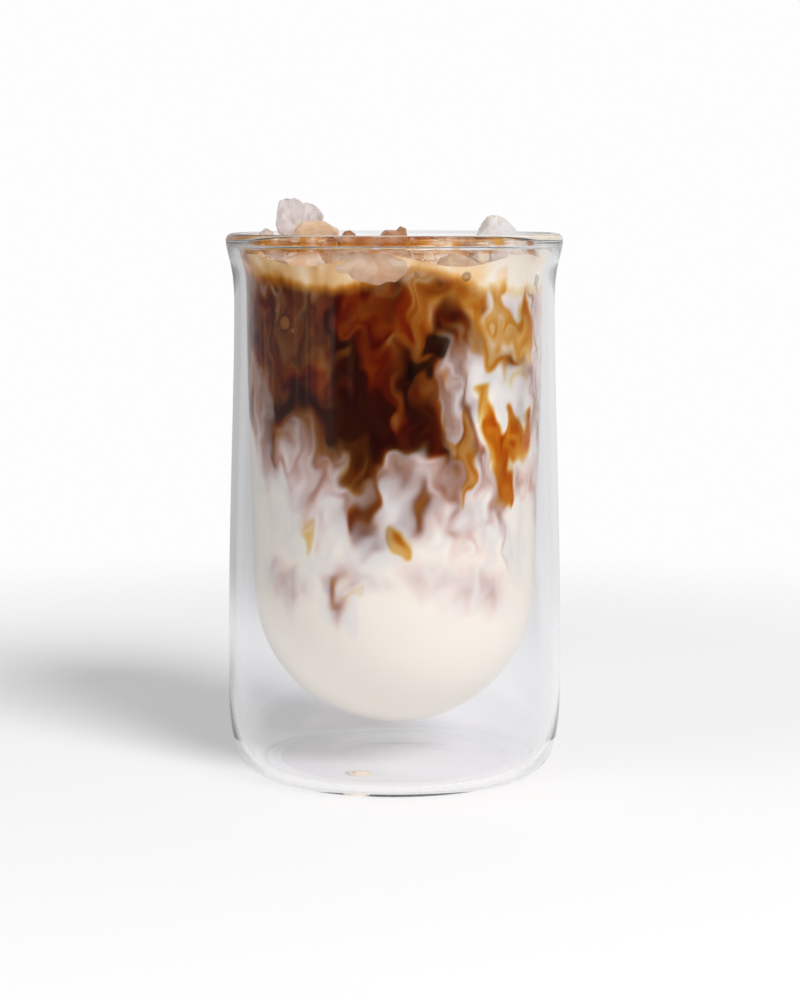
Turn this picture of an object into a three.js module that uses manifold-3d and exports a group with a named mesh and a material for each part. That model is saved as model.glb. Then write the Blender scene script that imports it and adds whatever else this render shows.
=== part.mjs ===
// An iced latte in a double-walled glass: milk, coffee and foam in layers, with broken ice
// standing out of the top. Millimetres, +Z up. The origin is the middle of the foot, on the table.
import * as THREE from "three";
import { ConvexGeometry } from "three/addons/geometries/ConvexGeometry.js";
import { mergeVertices } from "three/addons/utils/BufferGeometryUtils.js";
import Module from "manifold-3d";

// Driving dimensions of the glass
const RIM_RADIUS = 42;
const RIM_TOP = 135.5;
const LIP_RADIUS = 1.8;
const NECK_RADIUS = 40;
const NECK_HEIGHT = 119;
const BELLY_RADIUS = 42.1;
const BELLY_HEIGHT = 22;
const FOOT_RADIUS = 33;
const PUNT_RADIUS = 29.5;
const PUNT_FLAT = 4;
const PUNT_DEPTH = 0.25;
const FLOOR_HEIGHT = 2.3;
const FLOOR_RADIUS = 33;
const WALL = 1.55;
const CUP_RADIUS = 35.4;
const BOWL_RADIUS = 34;
const BOWL_HEIGHT = 47.8;
const CAVITY_TOP = 133;
const CAVITY_END_RADIUS = 0.8;
const CAVITY_END_OUTER = 40.3;

// Radii and heights that the handles of the outline's curves reach
const FOOT_HANDLE = 39.8;
const FLOOR_HANDLE = 38.2;
const BELLY_LOW_HANDLE = 6.5;
const BELLY_HIGH_HANDLE = 60;
const NECK_LOW_HANDLE = 98;
const NECK_HIGH_HANDLE = 127.5;
const LIP_OUTER_HANDLE = [41.7, 130];
const LIP_INNER_HANDLE = [38, 132.2];
const CUP_TOP_HANDLE = [35.6, 130];
const CUP_SIDE_HANDLE = 88;
const BOWL_SIDE_HANDLE = 66;

// The vent that lets air out of the space between the walls, and its plug
const VENT_PLACE = new THREE.Vector2(-8.3, -20.5);
const VENT_RADIUS = 1.6;
const VENT_SEAT_RADIUS = 2.9;
const VENT_SEAT_TOP = 1.4;

// The drink
const FILL_HEIGHT = 127.6;
const FOAM_BOTTOM = 119.5;
const MILK_TOP = 77;
const MENISCUS = 0.6;
const FOAM_SWELL = 3;
const FOAM_SWELLS = 6;
const FOAM_SWELL_TURN = 3.67;
const GAP = 0.45;

// Fineness
const GLASS_SEGMENTS = 40;
const DRINK_SEGMENTS = 36;
const VENT_SEGMENTS = 20;
const SMOOTHING = 0.12;

// Broken ice. A chunk is one block or a few grown together: each block's middle, half sizes,
// turn about Z and lean about Y in degrees, and the seed of its chips.
const ICE = {
  ice_tall: [
    { at: [-26, 9, 139], half: [4.3, 5.6, 5.8], turn: 10, lean: -4, seed: 3 },
    { at: [-21.8, 9.6, 137.6], half: [3.5, 4.8, 5.6], turn: 30, lean: 12, seed: 8 },
    { at: [-23.2, 9.4, 130.4], half: [4.8, 5.6, 8.6], turn: 20, lean: 4, seed: 16 },
  ],
  ice_nub: [{ at: [-30.8, -2.4, 131], half: [2.4, 4.4, 6.2], turn: -12, lean: -14, seed: 19 }],
  ice_amber: [
    { at: [-19.3, -8, 134], half: [6.4, 5.2, 5], turn: 4, lean: 7, seed: 5 },
    { at: [-19.2, -8.2, 129.6], half: [5.4, 5, 5.8], turn: -8, lean: 4, seed: 9 },
  ],
  ice_small: [{ at: [-11.4, -17, 131.7], half: [2.6, 2.8, 5.4], turn: 12, lean: 4, seed: 23 }],
  ice_front: [
    { at: [-4.8, -30.2, 128.6], half: [10.2, 8.6, 6.8], turn: -6, lean: -8, seed: 12 },
    { at: [-1.2, -27, 130.9], half: [4.2, 4.8, 6.2], turn: 24, lean: 8, seed: 29 },
    { at: [1.2, -26.6, 133.2], half: [1.8, 3, 4.6], turn: 10, lean: 12, seed: 52 },
  ],
  ice_left: [{ at: [-23.6, -21, 125.2], half: [8.6, 6.4, 6], turn: 42, lean: -6, seed: 14 }],
  ice_right: [
    { at: [25.5, 5, 134.9], half: [5, 5, 5], turn: -8, lean: 35, seed: 36 },
    { at: [23.6, 5, 129.2], half: [5.4, 5.6, 5.6], turn: -8, lean: 10, seed: 37 },
  ],
  ice_right_front: [{ at: [15.6, -25.2, 124.4], half: [7, 6, 6.2], turn: 24, lean: 9, seed: 33 }],
  ice_right_low: [{ at: [28, -12.2, 125.8], half: [6, 6, 6.8], turn: -30, lean: -9, seed: 38 }],
  ice_middle: [{ at: [0.6, 7, 126.8], half: [8.4, 8.2, 7.2], turn: 32, lean: 12, seed: 21 }],
  ice_back_left: [{ at: [-10.4, 24.6, 125.2], half: [8.2, 6.6, 6.6], turn: 12, lean: 4, seed: 44 }],
  ice_back_right: [{ at: [13.8, 23, 125.6], half: [8.8, 7, 6.8], turn: -22, lean: 8, seed: 47 }],
};
const ICE_POINTS = 36;
const ICE_BOXINESS = 3.4;
const ICE_CHIP = 0.14;

const TAU = Math.PI * 2;
const GOLDEN_ANGLE = Math.PI * (3 - Math.sqrt(5));
const wasm = await Module();
wasm.setup();

// Solids: from a geometry to a manifold and back
function solidOf(geometry) {
  const bare = geometry.clone();
  bare.deleteAttribute("normal");
  bare.deleteAttribute("uv");
  const merged = mergeVertices(bare, 1e-4);
  const mesh = new wasm.Mesh({
    numProp: 3,
    vertProperties: new Float32Array(merged.attributes.position.array),
    triVerts: new Uint32Array(merged.index.array),
  });
  return new wasm.Manifold(mesh);
}

function geometryOf(solid) {
  const mesh = solid.getMesh();
  const geometry = new THREE.BufferGeometry();
  geometry.setAttribute("position", new THREE.BufferAttribute(mesh.vertProperties, 3));
  geometry.setIndex(new THREE.BufferAttribute(mesh.triVerts, 1));
  geometry.computeVertexNormals();
  return geometry;
}

// The largest of a solid's bodies, without the loose scraps that a cut leaves
function largestBody(solid) {
  return solid.decompose().reduce((best, body) => (body.volume() > best.volume() ? body : best));
}

// Outlines: points (radius, height) along curves
const point = (radius, height) => new THREE.Vector2(radius, height);
const bend = (from, leave, arrive, to) => new THREE.CubicBezierCurve(from, leave, arrive, to);

function arc(centre, radius, fromDegrees, toDegrees) {
  const [from, to] = [fromDegrees, toDegrees].map(THREE.MathUtils.degToRad);
  return new THREE.EllipseCurve(centre.x, centre.y, radius, radius, from, to, to < from);
}

function outline(stretches) {
  const points = [];
  for (const [curve, steps] of stretches) {
    for (const place of curve.getPoints(steps)) {
      if (!points.length || points.at(-1).distanceTo(place) > 1e-3) points.push(place);
    }
  }
  return points;
}

const line = (from, to) => [new THREE.LineCurve(from, to), 1];

// A solid of revolution about Z
function turned(points, segments) {
  const snapped = points.map((p) => point(Math.abs(p.x) < 1e-6 ? 0 : p.x, p.y));
  return new THREE.LatheGeometry(snapped, segments).rotateX(Math.PI / 2);
}

// The long curves that both faces of a wall share
const sideCurve = (belly, neck) =>
  bend(belly, point(belly.x, BELLY_HIGH_HANDLE), point(neck.x, NECK_LOW_HANDLE), neck);
const cupCurve = (top, bowl) =>
  bend(top, point(top.x, CUP_SIDE_HANDLE), point(bowl.x, BOWL_SIDE_HANDLE), bowl);

// The glass's outer face, from the foot up to the outside of the lip
function outerFace() {
  const foot = point(FOOT_RADIUS, 0);
  const belly = point(BELLY_RADIUS, BELLY_HEIGHT);
  const neck = point(NECK_RADIUS, NECK_HEIGHT);
  const lip = point(RIM_RADIUS, RIM_TOP - LIP_RADIUS);
  const footBend = bend(foot, point(FOOT_HANDLE, 0), point(BELLY_RADIUS, BELLY_LOW_HANDLE), belly);
  const sideBend = sideCurve(belly, neck);
  const flare = bend(neck, point(NECK_RADIUS, NECK_HIGH_HANDLE), point(...LIP_OUTER_HANDLE), lip);
  return [[footBend, 6], [sideBend, 4], [flare, 4]];
}

// The face that holds the drink, from the inside of the lip down to the bottom of the bowl
function cupFace() {
  const lip = point(RIM_RADIUS - 2 * LIP_RADIUS, RIM_TOP - LIP_RADIUS);
  const top = point(CUP_RADIUS, NECK_HEIGHT);
  const bowl = point(BOWL_RADIUS, BOWL_HEIGHT);
  const flare = bend(lip, point(...LIP_INNER_HANDLE), point(...CUP_TOP_HANDLE), top);
  const side = cupCurve(top, bowl);
  return [[flare, 5], [side, 4], [arc(point(0, BOWL_HEIGHT), BOWL_RADIUS, 0, -90), 8]];
}

// The closed space between the walls
function cavityOutline() {
  const floorEdge = point(FLOOR_RADIUS, FLOOR_HEIGHT);
  const belly = point(BELLY_RADIUS - WALL, BELLY_HEIGHT);
  const neck = point(NECK_RADIUS - WALL, NECK_HEIGHT);
  const endHeight = CAVITY_TOP - CAVITY_END_RADIUS;
  const endOuter = point(CAVITY_END_OUTER, endHeight);
  const endInner = point(endOuter.x - 2 * CAVITY_END_RADIUS, endHeight);
  const cupTop = point(CUP_RADIUS + WALL, NECK_HEIGHT);
  const bowlRadius = BOWL_RADIUS + WALL;
  const bowl = point(bowlRadius, BOWL_HEIGHT);
  const floorHandle = point(FLOOR_HANDLE, FLOOR_HEIGHT);
  const floorBend = bend(floorEdge, floorHandle, point(belly.x, BELLY_LOW_HANDLE + WALL), belly);
  const sideBend = sideCurve(belly, neck);
  const flare = bend(neck, point(neck.x, NECK_HIGH_HANDLE - WALL), point(endOuter.x - 0.3, 128), endOuter);
  const end = arc(point(endOuter.x - CAVITY_END_RADIUS, endHeight), CAVITY_END_RADIUS, 0, 180);
  const cupFlare = bend(endInner, point(endInner.x - 0.5, 128.6), point(cupTop.x, 125), cupTop);
  const cupSide = cupCurve(cupTop, bowl);
  return outline([
    line(point(0, FLOOR_HEIGHT), floorEdge),
    [floorBend, 6], [sideBend, 4], [flare, 3], [end, 4], [cupFlare, 3], [cupSide, 4],
    [arc(point(0, BOWL_HEIGHT), bowlRadius, 0, -90), 8],
  ]);
}

// A round bar along Z, centred on the vent
function ventBar(radius, bottom, top) {
  const bar = new THREE.CylinderGeometry(radius, radius, top - bottom, VENT_SEGMENTS);
  return solidOf(bar.rotateX(Math.PI / 2).translate(VENT_PLACE.x, VENT_PLACE.y, (bottom + top) / 2));
}

function glass() {
  const lipCentre = point(RIM_RADIUS - LIP_RADIUS, RIM_TOP - LIP_RADIUS);
  const body = outline([
    line(point(0, PUNT_DEPTH), point(PUNT_FLAT, PUNT_DEPTH)),
    line(point(PUNT_FLAT, PUNT_DEPTH), point(PUNT_RADIUS, 0)),
    line(point(PUNT_RADIUS, 0), point(FOOT_RADIUS, 0)),
    ...outerFace(),
    [arc(lipCentre, LIP_RADIUS, 0, 180), 7],
    ...cupFace(),
  ]);
  return solidOf(turned(body, GLASS_SEGMENTS))
    .subtract(solidOf(turned(cavityOutline(), GLASS_SEGMENTS)))
    .subtract(ventBar(VENT_RADIUS, 0, FLOOR_HEIGHT + 1))
    .subtract(ventBar(VENT_SEAT_RADIUS, 0, VENT_SEAT_TOP));
}

function ventPlug() {
  const headTop = VENT_SEAT_TOP - GAP;
  return ventBar(VENT_SEAT_RADIUS - GAP, PUNT_DEPTH, headTop)
    .add(ventBar(VENT_RADIUS - GAP, headTop - 0.2, FLOOR_HEIGHT));
}

// Radius that the drink may fill at a height
const cupPoints = outline(cupFace());
function fillRadius(height) {
  const above = cupPoints.findLastIndex((p) => p.y > height);
  if (above < 0) return cupPoints[0].x - GAP;
  if (above === cupPoints.length - 1) return 0;
  const [high, low] = [cupPoints[above], cupPoints[above + 1]];
  const share = (high.y - height) / (high.y - low.y);
  return THREE.MathUtils.lerp(high.x, low.x, share) - GAP;
}

// Heights of the layers' limits at a share of the radius and an angle from +X
function milkTop(share, angle) {
  const slope = -9 * Math.cos(angle) + 7 * Math.sin(angle) + 6 * Math.cos(2 * angle);
  const fingers = 2.4 * Math.cos(5 * angle + 1.1);
  return MILK_TOP + share * slope + share ** 2 * fingers;
}

function foamBottom(share, angle) {
  const swell = 2.4 * Math.cos(2 * angle + 0.5) + 1.5 * Math.cos(5 * angle + 2.2);
  return FOAM_BOTTOM + share * swell;
}

// Foam climbs the wall between the chunks of ice
function foamTop(share, angle) {
  const swell = FOAM_SWELL * (0.5 + 0.5 * Math.cos(FOAM_SWELLS * angle + FOAM_SWELL_TURN));
  return FILL_HEIGHT + swell * share ** 6 + MENISCUS * share ** 14;
}

// A closed solid of rings about Z. A ring gives [radius, height] at an angle. The end rings have no radius.
function ringSolid(rings) {
  const seed = rings.map(() => point(1, 0));
  const geometry = new THREE.LatheGeometry(seed, DRINK_SEGMENTS);
  const position = geometry.getAttribute("position");
  for (let turn = 0; turn <= DRINK_SEGMENTS; turn++) {
    const angle = ((turn % DRINK_SEGMENTS) / DRINK_SEGMENTS) * TAU;
    rings.forEach((ring, index) => {
      const [radius, height] = ring(angle);
      const vertex = turn * rings.length + index;
      position.setXYZ(vertex, radius * Math.cos(angle), radius * Math.sin(angle), height);
    });
  }
  return solidOf(geometry);
}

const shares = (steps) => Array.from({ length: steps + 1 }, (_, i) => i / steps);

// Rings over a layer's limit, from the axis outwards
function limitRings(limit, lift, steps) {
  return shares(steps).map((share) => (angle) => {
    const radius = fillRadius(limit(1, angle));
    return [share * radius, limit(share, angle) + lift];
  });
}

// Rings up the wall between two limits
function wallRings(low, lowLift, high, steps) {
  return shares(steps).slice(1, -1).map((share) => (angle) => {
    const height = THREE.MathUtils.lerp(low(1, angle) + lowLift, high(1, angle), share);
    return [fillRadius(height), height];
  });
}

function milk() {
  const radius = BOWL_RADIUS - GAP;
  const bowl = shares(8).map((share) => () => {
    const climb = (share * Math.PI) / 2;
    return [radius * Math.sin(climb), BOWL_HEIGHT - radius * Math.cos(climb)];
  });
  const bowlRim = () => BOWL_HEIGHT;
  return ringSolid([
    ...bowl,
    ...wallRings(bowlRim, 0, milkTop, 4),
    ...limitRings(milkTop, 0, 5).reverse(),
  ]);
}

function layer(bottom, top) {
  return ringSolid([
    ...limitRings(bottom, GAP, 5),
    ...wallRings(bottom, GAP, top, 3),
    ...limitRings(top, 0, 5).reverse(),
  ]);
}

// A repeatable number from 0 to 1
function spread(seed, index) {
  const wave = Math.sin(seed * 12.9898 + index * 78.233) * 43758.5453;
  return wave - Math.floor(wave);
}

// A block of ice: the hull of points spread over a rounded box and chipped in a little,
// larger all round by the margin
function iceBlock({ at, half, turn, lean, seed }, margin) {
  const points = Array.from({ length: ICE_POINTS }, (_, index) => {
    const height = 1 - (2 * index + 1) / ICE_POINTS;
    const around = index * GOLDEN_ANGLE + spread(seed, index);
    const across = Math.sqrt(1 - height * height);
    const facing = [across * Math.cos(around), across * Math.sin(around), height];
    const bulk = facing.reduce((sum, part) => sum + Math.abs(part) ** ICE_BOXINESS, 0);
    const reach = (1 - ICE_CHIP * spread(seed, index + ICE_POINTS)) / bulk ** (1 / ICE_BOXINESS);
    return new THREE.Vector3(...facing.map((part, axis) => part * (reach * half[axis] + margin)));
  });
  const block = new ConvexGeometry(points);
  block.rotateY(THREE.MathUtils.degToRad(lean));
  block.rotateZ(THREE.MathUtils.degToRad(turn));
  return solidOf(block.translate(...at));
}

const iceChunk = (blocks, margin) =>
  blocks.map((block) => iceBlock(block, margin)).reduce((chunk, block) => chunk.add(block));

// The room that ice has inside the cup, open at the top
function cupRoom() {
  const inside = cupPoints.map((p) => point(Math.max(0, p.x - GAP), p.y)).reverse();
  const mouth = inside.at(-1);
  const room = [...inside, point(mouth.x, RIM_TOP + 20), point(0, RIM_TOP + 20)];
  return solidOf(turned(room, GLASS_SEGMENTS));
}

// Finishes
const finish = (color, roughness, extra = {}) =>
  new THREE.MeshStandardMaterial({ color, roughness, metalness: 0, ...extra });
const FINISHES = {
  glass: finish(0xe6e6ec, 0.03, { transparent: true, opacity: 0.3 }),
  plug: finish(0xd8c6b2, 0.5),
  milk: finish(0xf6f0e6, 0.3),
  coffee: finish(0x5a2806, 0.25),
  foam: finish(0xdcb48a, 0.5),
  ice: finish(0xe2dcde, 0.15, { transparent: true, opacity: 0.7 }),
};

const drink = new THREE.Group();

function add(name, solid, material) {
  const mesh = new THREE.Mesh(geometryOf(solid), material);
  mesh.name = name;
  drink.add(mesh);
}

const room = cupRoom();
let coffee = layer(milkTop, foamBottom);
let foam = layer(foamBottom, foamTop);
for (const [name, blocks] of Object.entries(ICE)) {
  add(name, largestBody(iceChunk(blocks, 0).intersect(room)), FINISHES.ice);
  const clearance = iceChunk(blocks, 1.5 * GAP).simplify(SMOOTHING);
  coffee = coffee.subtract(clearance);
  foam = foam.subtract(clearance);
}
add("glass", glass(), FINISHES.glass);
add("vent_plug", ventPlug(), FINISHES.plug);
add("milk", milk(), FINISHES.milk);
add("coffee", largestBody(coffee.simplify(SMOOTHING)), FINISHES.coffee);
add("foam", largestBody(foam.simplify(SMOOTHING)), FINISHES.foam);

export default drink;
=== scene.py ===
"""The looks of an iced latte in a double-walled glass: clear blown glass, milk with coffee marbled into it,
a band of pale foam and broken ice. Sizes are in millimetres and become metres when a mesh is made."""

import math

import bmesh
import bpy
import numpy as np
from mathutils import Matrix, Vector
from mathutils.bvhtree import BVHTree


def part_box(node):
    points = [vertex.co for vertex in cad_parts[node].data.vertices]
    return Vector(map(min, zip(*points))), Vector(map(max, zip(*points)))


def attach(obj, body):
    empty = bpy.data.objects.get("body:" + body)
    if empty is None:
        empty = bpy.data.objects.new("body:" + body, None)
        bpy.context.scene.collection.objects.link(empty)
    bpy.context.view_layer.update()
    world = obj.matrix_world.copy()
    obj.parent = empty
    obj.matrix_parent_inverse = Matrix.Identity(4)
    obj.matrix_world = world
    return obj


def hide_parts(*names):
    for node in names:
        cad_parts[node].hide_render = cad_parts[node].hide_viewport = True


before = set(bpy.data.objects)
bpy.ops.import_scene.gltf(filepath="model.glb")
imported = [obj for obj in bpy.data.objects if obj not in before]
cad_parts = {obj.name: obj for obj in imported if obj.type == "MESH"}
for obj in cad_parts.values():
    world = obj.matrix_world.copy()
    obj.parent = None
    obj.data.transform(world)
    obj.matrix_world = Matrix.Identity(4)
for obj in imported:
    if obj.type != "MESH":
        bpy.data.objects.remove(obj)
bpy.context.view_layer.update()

MM = 0.001
BODY = "root"
FINE = 1.0

# The glass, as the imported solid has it
GLASS_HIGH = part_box("glass")[1] / MM
RIM_TOP = GLASS_HIGH.z
BELLY_RADIUS = GLASS_HIGH.x
RIM_RADIUS = 42
LIP_RADIUS = 1.8
NECK_RADIUS = 40
NECK_HEIGHT = 119
BELLY_HEIGHT = 22
FOOT_RADIUS = 33
PUNT_RADIUS = 29.5
PUNT_FLAT = 4
PUNT_DEPTH = 0.25
FLOOR_HEIGHT = 2.3
FLOOR_RADIUS = 33
WALL = 1.55
CUP_RADIUS = 35.4
BOWL_RADIUS = 34
BOWL_HEIGHT = 47.8
CAVITY_TOP = 133
CAVITY_END_RADIUS = 0.8
CAVITY_END_OUTER = 40.3
CAVITY_OUTER_HANDLE = (CAVITY_END_OUTER - 0.3, 128)
CAVITY_INNER_HANDLE = (CAVITY_END_OUTER - 2 * CAVITY_END_RADIUS - 0.5, 128.6)
CAVITY_CUP_HANDLE = 125
FOOT_HANDLE = 39.8
FLOOR_HANDLE = 38.2
BELLY_LOW_HANDLE = 6.5
BELLY_HIGH_HANDLE = 60
NECK_LOW_HANDLE = 98
NECK_HIGH_HANDLE = 127.5
LIP_OUTER_HANDLE = (41.7, 130)
LIP_INNER_HANDLE = (38, 132.2)
CUP_TOP_HANDLE = (35.6, 130)
CUP_SIDE_HANDLE = 88
BOWL_SIDE_HANDLE = 66
VENT_RADIUS = 1.6
VENT_SEAT_RADIUS = 2.9
VENT_SEAT_TOP = 1.4
VENT_COLUMNS = 48
PLUG_EDGE = 0.2
GLASS_COLUMNS = int(224 * FINE)
GLASS_TINT = np.array([0.968, 0.965, 0.977])
STAIN_TINT = np.array([0.66, 0.26, 0.015])
STAIN_FOOT = (130.6, 131.8)
STAIN_LEFT = 1.2
GLASS_SHADE = (0.965, 0.965, 0.97)

# The drink
FILL_HEIGHT = 127.6
FOAM_BOTTOM = 119.5
MILK_TOP = 77
MENISCUS = 0.6
FOAM_SWELL = 3
FOAM_SWELLS = 6
FOAM_SWELL_TURN = 3.67
FOAM_SWELL_POWER = 6
MENISCUS_POWER = 14
MILK_SLOPE = (-9, 7)
MILK_SADDLE = 6
MILK_FINGERS = (2.4, 5, 1.1)
FOAM_WAVES = [(2.4, 2, 0.5), (1.5, 5, 2.2)]
INTO_WALL = 0.08
DRINK_COLUMNS = int(600 * FINE)
DRINK_STEP = 0.42 / FINE
BOWL_ROWS = int(60 * FINE)

# Shares of the radius at which rings lie over a layer's limit: few where it is hidden, many on the foam's top
HIDDEN_SHARES = np.linspace(0, 1, 13)
TOP_SHARES = 1 - (1 - np.linspace(0, 1, int(72 * FINE))) ** 1.25

# Broken ice. A chunk is one block or a few grown together: each block's middle, half sizes,
# turn about Z and lean about Y in degrees, and the seed of its chips.
ICE = {
    "ice_tall": [
        ((-26, 9, 139), (4.3, 5.6, 5.8), 10, -4, 3),
        ((-21.8, 9.6, 137.6), (3.5, 4.8, 5.6), 30, 12, 8),
        ((-23.2, 9.4, 130.4), (4.8, 5.6, 8.6), 20, 4, 16),
    ],
    "ice_nub": [((-30.8, -2.4, 131), (2.4, 4.4, 6.2), -12, -14, 19)],
    "ice_amber": [
        ((-19.3, -8, 134), (6.4, 5.2, 5), 4, 7, 5),
        ((-19.2, -8.2, 129.6), (5.4, 5, 5.8), -8, 4, 9),
    ],
    "ice_small": [((-11.4, -17, 131.7), (2.6, 2.8, 5.4), 12, 4, 23)],
    "ice_front": [
        ((-4.8, -30.2, 128.6), (10.2, 8.6, 6.8), -6, -8, 12),
        ((-1.2, -27, 130.9), (4.2, 4.8, 6.2), 24, 8, 29),
        ((1.2, -26.6, 133.2), (1.8, 3, 4.6), 10, 12, 52),
    ],
    "ice_left": [((-23.6, -21, 125.2), (8.6, 6.4, 6), 42, -6, 14)],
    "ice_right": [
        ((25.5, 5, 134.9), (5, 5, 5), -8, 35, 36),
        ((23.6, 5, 129.2), (5.4, 5.6, 5.6), -8, 10, 37),
    ],
    "ice_right_front": [((15.6, -25.2, 124.4), (7, 6, 6.2), 24, 9, 33)],
    "ice_right_low": [((28, -12.2, 125.8), (6, 6, 6.8), -30, -9, 38)],
    "ice_middle": [((0.6, 7, 126.8), (8.4, 8.2, 7.2), 32, 12, 21)],
    "ice_back_left": [((-10.4, 24.6, 125.2), (8.2, 6.6, 6.6), 12, 4, 44)],
    "ice_back_right": [((13.8, 23, 125.6), (8.8, 7, 6.8), -22, 8, 47)],
}
ICE_POINTS = 36
ICE_BOXINESS = 3.4
ICE_CHIP = 0.14
ICE_GAP = 0.2
ICE_VOXEL = 0.36 / FINE
ICE_SOFTENING = 2
ICE_RELIEF = 0.1
ICE_RELIEF_SET_BACK = 0.8
ICE_PITS = (24, 5, 1.6)
ICE_HOLLOWS = (20, 11, 4)
ICE_SHADE = (0.8, 0.77, 0.76)
ICE_CLOUDING = 5
ICE_SHRINK = 0.16
ICE_AT_WALL = ("ice_front", "ice_right_low")

GOLDEN_ANGLE = math.pi * (3 - math.sqrt(5))


# Studio: the camera's place in millimetres, its pitch and lens, and the light of the surroundings
CAMERA_BACK = 621.6
CAMERA_HEIGHT = 145.8
CAMERA_ASIDE = 1.38
CAMERA_PITCH = 7.1
CAMERA_LENS = 89.3
FLOOR_REACH = 3.0
FLOOR_FADE = (0.17, 0.40)
WHITE = 0.985
AMBIENT = 0.52
DARK_CARD = 0.38
ROOM = 0.03

# Lit panels in the surroundings: middle and half width in degrees round from the front,
# middle and half height in degrees above the floor, softness of the edge, and strength
PANELS = [
    (-95, 52, 32, 42, 3, 0.11),
    (40, 14, 44, 16, 3, 2.0),
    (180, 55, 15, 60, 12, 0.8),
    (180, 60, -50, 45, 5, 0.7),
]
CARD_PANEL = (-142, 36, 0, 60, 3, DARK_CARD)

# Lamps: place and target in metres, width in metres, and watts
LAMPS = {
    "key": ((0.93, -1.25, 1.38), (0, 0, 0.06), 0.8, 31),
    "fill": ((-0.9, -0.4, 0.5), (0, 0, 0.07), 0.8, 1.6),
}


# Colours and patterns
def linear(red, green, blue):
    """Scene-linear colour from 0 to 255 screen values"""
    screen = np.array([red, green, blue]) / 255
    return np.where(screen < 0.04045, screen / 12.92, ((screen + 0.055) / 1.055) ** 2.4)


def smooth(values, low, high):
    """0 at low, 1 at high, with a soft start and end"""
    share = np.clip((values - low) / (high - low), 0, 1)
    return share * share * (3 - 2 * share)


def waves(count, long, short, seed, upright=1.0):
    """Random sine waves: their directions and lengths, a sideways push for each, and their phases"""
    draw = np.random.default_rng(seed)
    facing = draw.normal(size=(count, 3)) * [1, 1, upright]
    facing /= np.linalg.norm(facing, axis=1)[:, None]
    length = np.exp(draw.uniform(np.log(short), np.log(long), count))
    push = np.cross(facing, draw.normal(size=(count, 3)))
    push *= (length ** 0.7 / np.linalg.norm(push, axis=1))[:, None]
    push *= np.sqrt(2 / (push ** 2).sum())
    return facing * (math.tau / length)[:, None], push, draw.uniform(0, math.tau, count)


def ripple(places, pattern):
    """A smooth random height, about -1 to 1, at each place"""
    wave, push, phase = pattern
    return np.sin(places @ wave.T + phase) @ np.linalg.norm(push, axis=1)


# The ice's colours: screen colours by height, the tint of its veins, and how clear it is
COOL_VEINS = (0.95, 0.94, 0.94)
WARM_VEINS = (0.84, 0.73, 0.62)
ICE_LOOKS = {
    "ice_frosted": ([(126, (236, 206, 172)), (131, (238, 228, 226))], COOL_VEINS, 0.6),
    "ice_clear": ([(126, (240, 230, 222)), (131, (248, 250, 252))], COOL_VEINS, 0.6),
    # ice_pale: its brown foot is the drink it sits in together with painted shade, and its brown top is
    # painted shade at its upper edge
    "ice_pale": (
        [(120, (164, 110, 66)), (125.5, (236, 200, 168)), (129.5, (250, 224, 194)), (133, (190, 142, 106))],
        WARM_VEINS, 0.3,
    ),
    "ice_soaked": ([(126, (232, 190, 142)), (135, (242, 218, 192))], WARM_VEINS, 0.5),
    "ice_brown": ([(124, (170, 114, 76)), (134, (192, 146, 116))], WARM_VEINS, 0.6),
}
ICE_USUAL_LOOK = "ice_soaked"
CHUNK_LOOKS = {
    "ice_tall": "ice_frosted",
    "ice_nub": "ice_frosted",
    "ice_right": "ice_clear",
    "ice_right_low": "ice_clear",
    "ice_front": "ice_pale",
    "ice_left": "ice_pale",
    "ice_small": "ice_brown",
}

# The drink's colour. Currents carry milk and coffee into each other: their waves, reach and steps.
# Light comes back from layers of the mix at some depths.
CURRENTS = [
    (waves(18, 9, 4, 13, 0.6), 1.4, 4),
    (waves(18, 22, 9, 12, 0.5), 7, 10),
    (waves(14, 60, 26, 11, 0.6), 8, 6),
]
SLOW_CURRENT = (waves(18, 16, 7, 14, 0.8), 2.5, 4)
PATCHES = waves(24, 26, 9, 31, 0.5)
WISPS = waves(24, 9, 3, 33, 0.35)
FILMS = waves(24, 16, 5, 37, 0.35)
DEPTHS = np.array([0.5, 1.1, 1.9, 3.0, 4.5, 6.6, 9.5])

# Share of coffee in a mix, and the colour of a deep bath of it
MIXES = [
    (0.0, linear(252, 244, 230)),
    (0.08, linear(236, 220, 213)),
    (0.22, linear(215, 191, 183)),
    (0.4, linear(174, 140, 128)),
    (0.58, linear(138, 98, 78)),
    (0.75, linear(108, 58, 22)),
    (1.0, linear(50, 17, 2)),
]
MILK_SCATTER = 0.8 * np.array([1.02, 0.94, 0.97])
COFFEE_SCATTER = 0.05 * np.array([1.0, 0.5, 0.14])
MILK_POWER = 2.0
FILM_TINT = np.array([0.3, 1.08, 3.1])

# How the coffee stands over the milk. It thins out toward a golden upper part and a busy right side.
PLAIN_MILK = (34, 42)
MIX_RISE = 4
MIX_SIDE = 6
MIX_FRONT = 5
MIX_SADDLE = 2
MIX_LOW = (-16, 4)
MIX_HIGH = (3, 18)
GOLDEN_HEIGHT = (98, 108)
BUSY_TURN = 0.1
BUSY_SIDE = (0.05, 0.65)
COFFEE_FULL = 0.84
COFFEE_LESS_GOLDEN = 0.14
COFFEE_LESS_BUSY = 0.64
COFFEE_LESS_INSIDE = 0.1
INSIDE_DEPTH = (0.8, 4)
PATCH_STRENGTH = 0.14
PATCH_BUSY = 0.1
PATCH_HEIGHT = (-22, 4)
WISP_STRENGTH = 0.05
WISP_BUSY = 0.05
WISP_HEIGHT = (-16, 4)
COFFEE_LEAST = 0.45
COFFEE_LEAST_BUSY = 0.38
LEAST_HEIGHT = (6, 18)

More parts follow.
